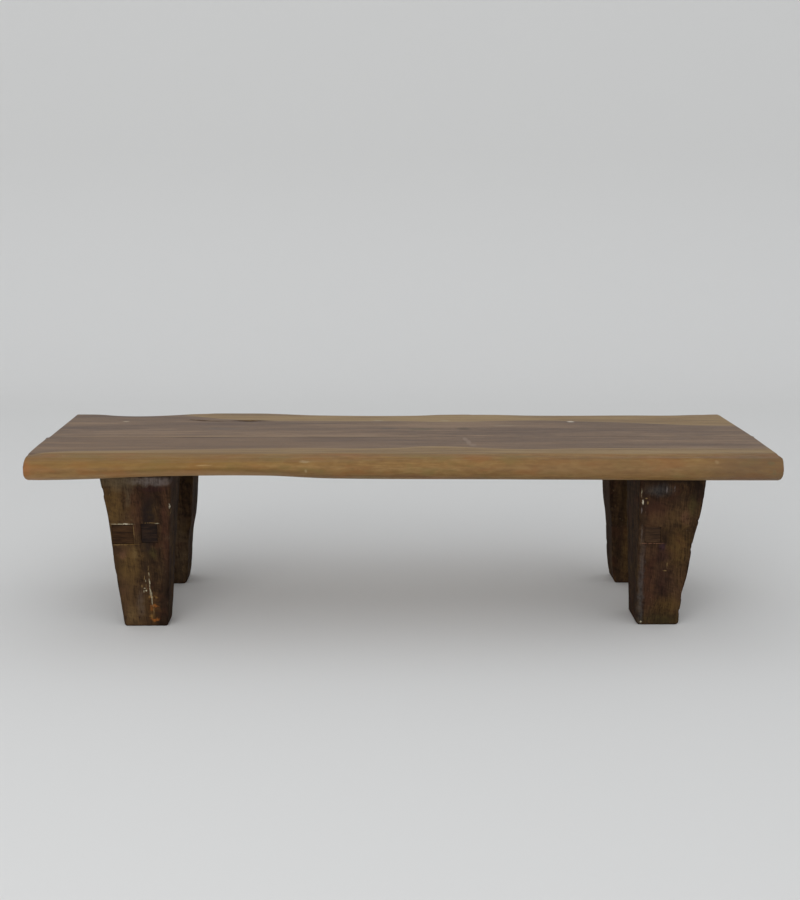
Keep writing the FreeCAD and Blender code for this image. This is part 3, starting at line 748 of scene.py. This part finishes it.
legStains = {  # place across and up the front face, reach across and up, tint and strength
    "front_left_leg": [
        (-0.69, 0.27, 0.03, 0.12, "tan", 0.45), (-0.67, 0.1, 0.03, 0.11, "tan", 0.6),
        (-0.66, 0.03, 0.025, 0.03, "tan", 0.5),
        (-0.67, 0.375, 0.06, 0.012, "grey", 0.95), (-0.6, 0.375, 0.05, 0.01, "lilac", 0.95),
        (-0.695, 0.36, 0.014, 0.012, "grey", 0.6), (-0.664, 0.354, 0.01, 0.01, "grey", 0.5),
        (-0.6, 0.356, 0.04, 0.006, "plum", 0.6), (-0.703, 0.31, 0.018, 0.05, "gold", 0.6),
        (-0.668, 0.33, 0.005, 0.016, "grey", 0.5), (-0.651, 0.305, 0.015, 0.045, "rust", 0.5),
        (-0.619, 0.29, 0.014, 0.055, "black", 0.8), (-0.624, 0.235, 0.01, 0.03, "black", 0.6),
        (-0.58, 0.25, 0.01, 0.1, "rust", 0.6), (-0.676, 0.165, 0.026, 0.045, "gold", 0.6),
        (-0.658, 0.19, 0.006, 0.016, "straw", 0.4), (-0.687, 0.186, 0.008, 0.01, "rose", 0.5),
        (-0.631, 0.155, 0.009, 0.036, "coal", 0.5), (-0.614, 0.191, 0.008, 0.012, "olive", 0.6),
        (-0.585, 0.15, 0.017, 0.032, "coal", 0.4), (-0.688, 0.084, 0.012, 0.04, "brown", 0.6),
        (-0.583, 0.065, 0.012, 0.06, "coal", 0.6), (-0.672, 0.028, 0.012, 0.026, "straw", 0.4),
        (-0.65, 0.06, 0.008, 0.03, "lilac", 0.25), (-0.618, 0.045, 0.013, 0.04, "ochre", 0.9),
        (-0.626, 0.077, 0.006, 0.005, "amber", 0.7), (-0.612, 0.079, 0.004, 0.003, "amber", 0.5),
        (-0.614, 0.054, 0.009, 0.002, "orange", 0.9), (-0.621, 0.047, 0.005, 0.004, "orange", 0.45),
        (-0.616, 0.018, 0.01, 0.003, "orange", 0.9), (-0.624, 0.026, 0.005, 0.005, "amber", 0.5),
        (-0.61, 0.063, 0.012, 0.0025, "black", 0.5), (-0.612, 0.034, 0.012, 0.0025, "black", 0.5),
        (-0.628, 0.203, 0.01, 0.02, "black", 0.5), (-0.69, 0.2, 0.016, 0.012, "plum", 0.4),
        (-0.561, 0.2, 0.012, 0.2, "brown", 0.5), (-0.698, 0.17, 0.011, 0.035, "coal", 0.4),
    ],
    "front_right_leg": [
        # the first row is a painted shadow: a dark line along the top, under the seat
        (0.656, 0.378, 0.085, 0.006, "coal", 0.8), (0.621, 0.352, 0.03, 0.014, "slate", 0.35),
        (0.668, 0.33, 0.02, 0.011, "coal", 0.6), (0.617, 0.297, 0.028, 0.03, "rust", 0.6),
        (0.676, 0.29, 0.028, 0.034, "tan", 0.55), (0.688, 0.28, 0.01, 0.013, "rose", 0.4),
        (0.612, 0.275, 0.022, 0.02, "tan", 0.45), (0.646, 0.27, 0.02, 0.02, "tan", 0.3),
        (0.706, 0.312, 0.01, 0.024, "olive", 0.6), (0.722, 0.35, 0.014, 0.03, "coal", 0.7),
        (0.637, 0.206, 0.008, 0.008, "violet", 0.6), (0.639, 0.184, 0.02, 0.017, "plum", 0.5),
        (0.68, 0.205, 0.026, 0.055, "gold", 0.5), (0.605, 0.191, 0.016, 0.016, "brown", 0.6),
        (0.588, 0.16, 0.006, 0.06, "lilac", 0.2), (0.59, 0.075, 0.007, 0.08, "slate", 0.45),
        (0.61, 0.104, 0.016, 0.06, "rust", 0.6), (0.643, 0.118, 0.022, 0.045, "plum", 0.4),
        (0.684, 0.103, 0.022, 0.046, "brown", 0.6), (0.657, 0.051, 0.032, 0.024, "gold", 0.5),
        (0.642, 0.016, 0.042, 0.014, "olive", 0.5), (0.584, 0.28, 0.009, 0.07, "coal", 0.55),
        (0.604, 0.314, 0.02, 0.014, "coal", 0.4),
    ],
    "rear_left_leg": [
        (-0.62, 0.14, 0.03, 0.1, "brown", 0.35), (-0.6, 0.1, 0.02, 0.09, "grey", 0.4),
        (-0.607, 0.14, 0.003, 0.06, "grey", 0.4),
    ],
    "rear_right_leg": [
        (0.616, 0.24, 0.014, 0.09, "gold", 0.5), (0.62, 0.08, 0.014, 0.07, "gold", 0.4),
        (0.6, 0.2, 0.006, 0.2, "coal", 0.5),
    ],
}
legSpecks = {  # old paint and filler: thin and broken
    "front_left_leg": [
        (-0.6445, 0.106, 0.0012, 0.004, "straw", 0.9), (-0.638, 0.1, 0.0022, 0.0014, "chalk", 0.8),
        (-0.6345, 0.094, 0.0026, 0.0018, "chalk", 0.9), (-0.634, 0.107, 0.001, 0.005, "straw", 0.8),
        (-0.64, 0.0925, 0.0009, 0.003, "chalk", 0.8), (-0.6315, 0.0985, 0.0014, 0.0018, "straw", 0.8),
        (-0.637, 0.126, 0.001, 0.008, "straw", 0.7), (-0.6345, 0.12, 0.0008, 0.004, "chalk", 0.6),
        (-0.6265, 0.146, 0.0008, 0.014, "straw", 0.8), (-0.6255, 0.126, 0.001, 0.017, "chalk", 0.95),
        (-0.6245, 0.1, 0.0011, 0.02, "chalk", 1.0), (-0.6215, 0.074, 0.001, 0.018, "chalk", 0.9),
        (-0.618, 0.046, 0.0009, 0.018, "straw", 0.9), (-0.6845, 0.2665, 0.027, 0.0011, "chalk", 0.7),
        (-0.676, 0.2668, 0.006, 0.0014, "white", 0.75), (-0.6572, 0.25, 0.0009, 0.017, "straw", 0.7),
        (-0.694, 0.2135, 0.021, 0.0011, "straw", 0.7), (-0.666, 0.2142, 0.02, 0.0009, "gold", 0.8),
        (-0.618, 0.2695, 0.018, 0.001, "straw", 0.6), (-0.601, 0.268, 0.006, 0.001, "chalk", 0.6),
        (-0.5685, 0.311, 0.001, 0.006, "white", 1.0),
        (-0.5675, 0.285, 0.0009, 0.02, "straw", 0.6), (-0.5665, 0.17, 0.0009, 0.02, "straw", 0.4),
    ],
    "front_right_leg": [
        (0.571, 0.357, 0.001, 0.008, "chalk", 0.8), (0.5775, 0.345, 0.0008, 0.01, "chalk", 0.6),
        (0.5815, 0.321, 0.0022, 0.006, "white", 1.0), (0.5895, 0.331, 0.003, 0.0018, "straw", 0.9),
        (0.594, 0.32, 0.002, 0.004, "straw", 0.7), (0.6385, 0.353, 0.0012, 0.008, "lilac", 0.9),
        (0.658, 0.356, 0.001, 0.007, "lilac", 0.8), (0.6, 0.2155, 0.02, 0.0012, "rose", 0.8),
        (0.625, 0.2155, 0.016, 0.0009, "rose", 0.6), (0.651, 0.159, 0.0014, 0.009, "straw", 0.7),
        (0.6455, 0.144, 0.005, 0.0014, "straw", 0.9), (0.593, 0.009, 0.003, 0.0025, "chalk", 0.9),
        (0.58, 0.3, 0.0015, 0.008, "lilac", 0.6), (0.5835, 0.24, 0.0016, 0.02, "lilac", 0.35),
    ],
}


def onFront(name, marks):  # the marks at the height of the leg's front face
    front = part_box(name)[0].y
    deep = timberLook["markDepth"]
    return [((mx, front, mz), (rx, deep, rz), tints[tint], share) for mx, mz, rx, rz, tint, share in marks]


def oldTimber(name, seed):  # weathered wood with upright grain
    finish = Finish(name + "Timber")
    step, mix, grain = finish.step, finish.mix, finish.grain
    sway = grain(finish.x * 9, finish.y * 9, finish.z * 13, detail=3) - 0.5
    x, y, z = finish.x + seed + sway * 0.03, finish.y + sway * 0.03, finish.z
    broad = grain(x * 24, y * 24, z * 5, detail=3)
    streak = grain(x * 85, y * 85, z * 9, detail=3)
    fine = grain(x * 330, y * 330, z * 30, detail=3)
    hewn = grain(x * 44, y * 44, (z + sway * 0.02) * 105 + x * 30, detail=4, rough=0.65)
    blotch = grain(x * 22, y * 22, z * 17, detail=4, rough=0.6)
    tone = step(0.33, 0.69, broad * 0.24 + streak * 0.26 + fine * 0.26 + hewn * 0.24)
    colour = finish.ramp(tone, timberLook["wood"])
    colour = mix(step(0.5, 0.68, blotch) * 0.5, colour, timberLook["red"])
    colour = mix(step(0.47, 0.3, blotch) * 0.45, colour, timberLook["gold"])

    coarse = step(0.3, 0.62, streak * 0.2 + fine * 0.4 + hewn * 0.4)
    stains, specks = onFront(name, legStains[name]), onFront(name, legSpecks.get(name, []))
    colour = finish.paint(colour, stains, finish.stray(0.022, 60), coarse * 0.85 + 0.15, 0.75)
    broken = step(0.36, 0.5, grain(x * 300, y * 300, z * 120, detail=3))
    colour = finish.paint(colour, specks, finish.stray(0.004, 130), broken, 0.4)

    worn = finish.mark("arris")
    rubbed = worn * step(0.55, 0.75, grain(x * 60, y * 60, z * 38, detail=3))
    colour = mix(rubbed * 0.4, colour, timberLook["worn"])
    fleck = step(0.74, 0.8, grain(x * 300, y * 300, z * 110, detail=1))
    colour = mix(fleck * step(0.45, 0.6, broad) * 0.4, colour, timberLook["fleck"])
    colour = finish.darken(step(0.36, 0.28, fine) * 0.5, colour, 0.6)
    opened = finish.mark("crack")
    colour = mix(step(0.1, 0.6, opened), colour, timberLook["crack"])
    rough = timberLook["gloss"] + fine * 0.2
    finish.set(Base_Color=colour, Roughness=rough, Specular_IOR_Level=timberLook["sheen"])
    finish.bump(fine * 0.6 + streak * 0.4, 0.0016, 0.6)
    return finish.material


def ringByQuarters(outline, count):  # even points, a quarter of them in each quarter turn from the front
    fine = walk(outline, legCut["fineAround"], closed=True)[:-1]
    middle = (fine.max(axis=0) + fine.min(axis=0)) / 2
    angle = np.arctan2(fine[:, 1] - middle[1], fine[:, 0] - middle[0])
    turn = (angle + math.pi / 2) % (2 * math.pi)
    order = np.argsort(turn)
    fine, turn = fine[order], turn[order]
    cuts = np.searchsorted(turn, np.arange(4) * math.pi / 2).tolist() + [len(fine)]
    fine = np.vstack([fine, fine[:1]])
    return np.vstack([walk(fine[cuts[q]:cuts[q + 1] + 1], count // 4 + 1)[:-1] for q in range(4)])


def boxCloseness(rings, box, reach):  # 1 inside a box, falling to 0 at a distance from it
    low, high = np.array(box)
    outside = np.linalg.norm(np.maximum(np.maximum(low - rings, rings - high), 0), axis=2)
    return 1 - ease(0, reach, outside)


def cutPocket(piece, box):  # a pocket for a let-in block, open at the front face
    room, front = legCut["pocketRoom"], legCut["pocketFront"]
    low, high = np.array(box) + ((-room, -front, -room), (room, room, room))
    cutter = bmesh.new()
    bmesh.ops.create_cube(cutter, size=1)
    for corner in cutter.verts:
        corner.co = np.where(np.array(corner.co) < 0, low, high)
    mesh = bpy.data.meshes.new("cutter")
    cutter.to_mesh(mesh)
    cutter.free()
    tool = addObject("cutter", mesh)
    modifier = piece.modifiers.new("pocket", "BOOLEAN")
    modifier.operation = "DIFFERENCE"
    modifier.solver = "EXACT"
    modifier.object = tool
    bpy.context.view_layer.update()
    solved = piece.evaluated_get(bpy.context.evaluated_depsgraph_get())
    cut = bpy.data.meshes.new_from_object(solved)
    piece.modifiers.clear()
    piece.data = cut
    bpy.data.objects.remove(tool)


def legRings(name):  # level sections from foot to top
    edges = readSolid(name)
    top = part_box(name)[1].z
    inset = legCut["endInset"]
    rings = []
    for z in np.linspace(0, top, legCut["rows"]):
        ring = ringByQuarters(outlineAt(edges, 2, min(max(z, inset), top - inset)), legCut["around"])
        rings.append(np.column_stack([ring, np.full(len(ring), z)]))
    return np.array(rings)


def legCracks(look, rings):  # long drying cracks, none of them in the front face
    rng = np.random.default_rng(look["seed"])
    z = rings[:, :, 2]
    girth = girthOf(rings)
    length = girth.max(axis=1, keepdims=True)
    crack = np.zeros_like(z)
    for number in range(look["cracks"]):
        share = (number + rng.uniform(0.2, 0.8)) / look["cracks"]
        place = (legCut["crackFrom"] + legCut["crackSpan"] * share) * length
        start, run = rng.uniform(-0.05, 0.25), rng.uniform(0.09, 0.22)
        bends = np.stack([z * 14 + number * 7, z * 0, z * 0], axis=2)
        wander = softNoise(bends, look["seed"] + number) * legCut["crackWander"]
        taper = ease(0, 0.4, (z - start) / run) * (1 - ease(0.5, 1.0, (z - start) / run))
        width = legCut["crackWidth"] * rng.uniform(0.7, 1.3)
        crack = np.maximum(crack, np.exp(-(((girth - place - wander) / width) ** 2)) * taper)
    return crack


def legRelief(name, look, rings):  # how far in each point lies, and the marks for the material
    seed = look["seed"]
    z, top = rings[:, :, 2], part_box(name)[1].z
    middle = (rings.max(axis=1, keepdims=True) + rings.min(axis=1, keepdims=True)) / 2
    half = (rings.max(axis=1, keepdims=True) - rings.min(axis=1, keepdims=True)) / 2
    fromMiddle = np.abs(rings - middle) / np.maximum(half, 1e-6)
    arris = ease(*legCut["arris"], fromMiddle[:, :, 0] + fromMiddle[:, :, 1] - 1)

    broad = layeredNoise(rings * (17, 17, 8) + seed, seed)
    grain = layeredNoise(rings * (190, 190, 9) + seed, seed + 1)
    knocks = layeredNoise(rings * (40, 40, 55) + seed, seed + 2)
    strokes = layeredNoise(rings * (30, 30, 95) + seed, seed + 3)
    crack = legCracks(look, rings)
    depth = legCut["hollows"] * (0.5 + 0.5 * broad)
    depth += legCut["ridges"] * (0.5 + 0.5 * grain)
    depth += legCut["strokes"] * (0.5 + 0.5 * strokes)
    depth += legCut["chips"] * arris * ease(0.0, 0.5, knocks)
    depth += legCut["crackDepth"] * crack

    calm = ease(top - legCut["calmTop"], top, z)
    for other in [name[:-3] + "bracket"] + [inlay for inlay in inlays if inlays[inlay]["leg"] == name]:
        calm = np.maximum(calm, boxCloseness(rings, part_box(other), legCut["calmReach"]))
    depth = depth * (1 - calm) + np.minimum(depth, legCut["calm"]) * calm
    return depth, {"arris": arris, "crack": crack}


def makeLeg(name, look):
    rings = legRings(name)
    depth, marks = legRelief(name, look, rings)
    upright = rings[:, :, 2].copy()
    rings = rings - ringNormals(rings) * depth[:, :, None]
    rings[:, :, 2] = upright
    rings, marks = closeBothEnds(rings, marks, legCut["capSteps"], legCut["capInset"])
    piece = skinFromRings(name + "_wood", rings, marks)
    for inlay, place in inlays.items():
        if place["leg"] == name:
            cutPocket(piece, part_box(inlay))
    piece.data.materials.clear()
    piece.data.materials.append(oldTimber(name, look["seed"]))
    piece.data.set_sharp_from_angle(angle=math.radians(legCut["sharp"]))
    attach(piece, "root")
    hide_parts(name)
    return piece


legPieces = {name: makeLeg(name, look) for name, look in legs.items()}
for name, piece in legPieces.items():
    print("leg", name, len(piece.data.polygons), "faces")


def blockWood(name, look):  # a let-in block's grain lies across the leg
    finish = Finish(name + "Wood")
    x, y, z = finish.x + look["seed"], finish.y, finish.z
    broad = finish.grain(x * 22, y * 30, z * 60, detail=3)
    streak = finish.grain(x * 24, y * 200, z * 330, detail=2)
    fine = finish.grain(x * 90, y * 900, z * 1400, detail=2)
    tone = finish.step(0.3, 0.7, broad * 0.4 + streak * 0.4 + fine * 0.2)
    colour = finish.ramp(tone, look["wood"])
    finish.set(Base_Color=colour, Roughness=0.65 + fine * 0.2, Specular_IOR_Level=0.06)
    finish.bump(streak * 0.6 + fine * 0.4, 0.0008, 0.6)
    return finish.material


inlayCut = {
    "rounding": 0.0012,
    "roundSteps": 5,
    "around": 160,
    "faceRings": 22,
    "backRings": 3,
    "faceDepth": 0.004,  # how far in the wear of the face dies out
    "wear": 0.0006,
    "ridges": 0.0005,
}


def inlayRings(half, front, back):  # a small block with eased front edges, around the middle of its face
    count, rounding = inlayCut["around"], inlayCut["rounding"]
    turn = np.linspace(0, 2 * math.pi, count, endpoint=False)
    reach = np.stack([np.cos(turn), np.sin(turn)], axis=1)
    square = reach / np.max(np.abs(reach) / half, axis=1)[:, None]
    corner = np.sign(square) * np.maximum(np.abs(square) - (half - rounding * 2), 0)
    shrink = np.maximum(np.linalg.norm(corner, axis=1) / (rounding * 2), 1)[:, None]
    square = square - corner + corner / shrink
    rings = []
    for lean in np.linspace(0, math.pi / 2, inlayCut["roundSteps"]):
        ring = square * (1 - rounding * (1 - math.cos(lean)) / half)
        depth = np.full(count, front + rounding * (1 - math.sin(lean)))
        rings.append(np.column_stack([ring[:, 0], depth, ring[:, 1]]))
    last = rings[0].copy()
    last[:, 1] = back
    backCap = closeEnd(last, inlayCut["backRings"], half.min())[::-1]
    return np.concatenate([backCap, [last], rings, closeEnd(rings[-1], inlayCut["faceRings"], half.min())])


def makeInlay(name, look):
    low, high = np.array(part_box(name))
    half, middle = (high - low) / 2, (high + low) / 2
    rings = inlayRings(half[[0, 2]], low[1], high[1])
    rings += middle * (1, 0, 1)
    seed = look["seed"]
    worn = layeredNoise(rings * (30, 0, 30), seed)
    ridges = layeredNoise(rings * (60, 0, 420), seed + 1)
    face = ease(low[1] + inlayCut["faceDepth"], low[1], rings[:, :, 1])
    rings[:, :, 1] += face * inlayCut["wear"] * (0.5 + 0.5 * worn)
    rings[:, :, 1] += face * inlayCut["ridges"] * (0.5 + 0.5 * ridges)
    piece = skinFromRings(name + "_wood", rings, {})
    piece.data.materials.append(blockWood(name, look))
    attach(piece, "root")
    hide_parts(name)
    return piece


inlayPieces = {name: makeInlay(name, look) for name, look in inlays.items()}
print("inlays", len(inlayPieces))


dowelLook = {
    "beech": evenRamp((158, 122, 84), (186, 151, 110), (208, 178, 138)),
    "ray": shade(140, 100, 64),  # short dark flecks
    "gloss": 0.6,
}


def dowelWood(name, stretch):  # turned beech, its grain along the dowel
    finish = Finish(name)
    place = finish.vectorSum("MULTIPLY", finish.place, stretch)
    grain = finish.noise(place, 26, detail=3)
    fine = finish.noise(place, 140, detail=2)
    ray = finish.noise(place, 300, detail=1)
    tone = finish.step(0.3, 0.7, grain * 0.6 + fine * 0.4)
    flecks = finish.step(0.62, 0.72, ray) * 0.6
    colour = finish.mix(flecks, finish.ramp(tone, dowelLook["beech"]), dowelLook["ray"])
    finish.set(Base_Color=colour, Roughness=dowelLook["gloss"] + fine * 0.15)
    finish.bump(fine, 0.0002, 0.5)
    return finish.material


steelLook = {
    "mill": evenRamp((92, 91, 92), (126, 126, 128), (158, 157, 156)),
    "scale": shade(70, 60, 54),  # thin oxide left from the mill
    "zinc": evenRamp((150, 150, 146), (184, 183, 178), (208, 206, 200)),
    "haze": shade(150, 144, 120),
}


def millSteel(name):
    finish = Finish(name)
    brushed = finish.noise(finish.vectorSum("MULTIPLY", finish.place, (1, 9, 9)), 90, detail=3)
    patch = finish.step(0.54, 0.7, finish.noise(finish.place, 60, detail=4, rough=0.65))
    mill = finish.ramp(finish.step(0.3, 0.7, brushed), steelLook["mill"])
    colour = finish.mix(patch * 0.7, mill, steelLook["scale"])
    finish.set(Base_Color=colour, Metallic=1 - patch * 0.6, Roughness=0.36 + brushed * 0.16 + patch * 0.2)
    finish.bump(brushed, 0.0001, 0.4)
    return finish.material


def screwZinc(name):
    finish = Finish(name)
    spangle = finish.noise(finish.place, 900, detail=2)
    patch = finish.step(0.52, 0.66, finish.noise(finish.place, 240, detail=3))
    zinc = finish.ramp(finish.step(0.3, 0.7, spangle), steelLook["zinc"])
    colour = finish.mix(patch * 0.5, zinc, steelLook["haze"])
    finish.set(Base_Color=colour, Metallic=1 - patch * 0.3, Roughness=0.3 + spangle * 0.2)
    finish.bump(spangle, 0.00005, 0.4)
    return finish.material


def dressFittings():  # the solids that keep their shape get their finish here
    finishes = {
        "_leg_dowels": dowelWood("uprightBeech", (12, 12, 1)),
        "_joint_dowels": dowelWood("levelBeech", (12, 1, 12)),
        "_bracket": millSteel("millSteel"),
        "_screws": screwZinc("screwZinc"),
    }
    dressed = 0
    for name, solid in nodes.items():
        for ending, finish in finishes.items():
            if name.endswith(ending):
                for slot in solid.material_slots:
                    slot.material = finish
                dressed += 1
    return dressed


print("fittings", dressFittings())


stageLook = {
    "floor": (0.72, 0.71, 0.69),
    "rough": 0.9,
    "size": 14.0,
    "behind": 2.6,  # where the floor starts to bend up
    "bend": 1.2,
    "bendSteps": 12,
}


def stagePaper():
    finish = Finish("stagePaper")
    finish.set(Base_Color=stageLook["floor"], Roughness=stageLook["rough"])
    return finish.material


def makeSweep():
    half, bend, back = stageLook["size"] / 2, stageLook["bend"], stageLook["behind"]
    profile = [(-half, 0.0), (back, 0.0)]
    for turn in np.linspace(0, math.pi / 2, stageLook["bendSteps"] + 1)[1:]:
        profile.append((back + bend * math.sin(turn), bend * (1 - math.cos(turn))))
    profile.append((back + bend, half))
    points = [(x, y, z) for x in (-half, half) for y, z in profile]
    count = len(profile)
    faces = [(k, k + 1, count + k + 1, count + k) for k in range(count - 1)]
    mesh = bpy.data.meshes.new("sweep")
    mesh.from_pydata(points, [], faces)
    mesh.shade_smooth()
    mesh.materials.append(stagePaper())
    sweep = addObject("sweep", mesh)


makeSweep()

lightLook = {
    "sky": 0.86,
    "skyColour": (0.93, 0.96, 1.0),
    "key": 52.0,
    "keySize": 3.2,
    "keyPlace": (-1.5, -4.2, 2.4),
}


def addLights():
    world = bpy.data.worlds.new("softSky")
    world.use_nodes = True
    sky = world.node_tree.nodes["Background"]
    sky.inputs["Color"].default_value = (*lightLook["skyColour"], 1)
    sky.inputs["Strength"].default_value = lightLook["sky"]
    bpy.context.scene.world = world
    lamp = bpy.data.lights.new("softBox", "AREA")
    lamp.energy = lightLook["key"]
    lamp.size = lightLook["keySize"]
    holder = addObject("softBox", lamp)
    holder.location = lightLook["keyPlace"]
    holder.rotation_euler = (-holder.location).to_track_quat("-Z", "Y").to_euler()


addLights()

cameraLook = {
    "place": (-0.0639, -2.9827, 1.1044),
    "turn": -0.01924,  # to the right, in radians
    "tilt": 0.23128,  # downwards
    "roll": 0.00454,
    "lens": 47.44,
}


def addCamera():
    camera = bpy.data.cameras.new("camera")
    camera.lens = cameraLook["lens"]
    holder = addObject("camera", camera)
    holder.matrix_world = (
        Matrix.Translation(cameraLook["place"])
        @ Matrix.Rotation(cameraLook["turn"], 4, "Z")
        @ Matrix.Rotation(math.pi / 2 - cameraLook["tilt"], 4, "X")
        @ Matrix.Rotation(cameraLook["roll"], 4, "Z")
    )
    bpy.context.scene.camera = holder


addCamera()
bpy.context.scene.view_settings.view_transform = "Standard"
print("floor, light and camera placed")
